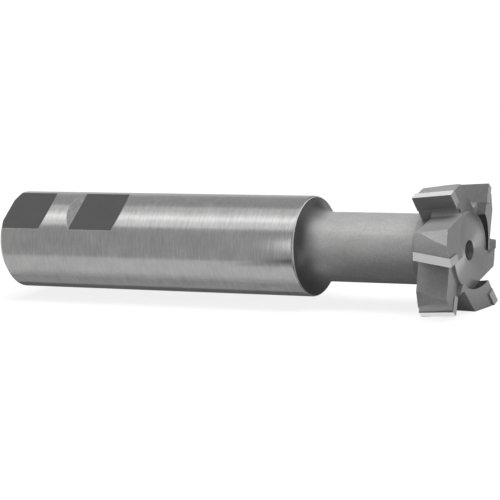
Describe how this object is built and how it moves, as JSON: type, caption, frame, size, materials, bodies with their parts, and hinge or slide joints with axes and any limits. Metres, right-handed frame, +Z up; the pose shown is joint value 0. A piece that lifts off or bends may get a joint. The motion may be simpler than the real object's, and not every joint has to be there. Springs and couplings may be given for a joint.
{
  "type": "T slot cutter",
  "caption": "Carbide-tipped T slot cutter with a parallel shank and driving flats, a thinner neck, and a toothed head whose brazed tips lean and stand out alternately.",
  "frame": {"origin": "centre of the shank's back end face, on the tool axis", "axes": "+X along the tool axis from the shank to the cutting end, +Z up as the tool lies on its side"},
  "size_m": [0.1333, 0.034, 0.033],
  "materials": {
    "steel": "ground bright shank, satin grey neck and head",
    "carbide": "cemented carbide with bright ground lands"
  },
  "bodies": {
    "root": {"cutter_body": "steel", "carbide_tip_1": "carbide", "carbide_tip_2": "carbide", "carbide_tip_3": "carbide", "carbide_tip_4": "carbide", "carbide_tip_5": "carbide", "carbide_tip_6": "carbide"}
  },
  "joints": []
}
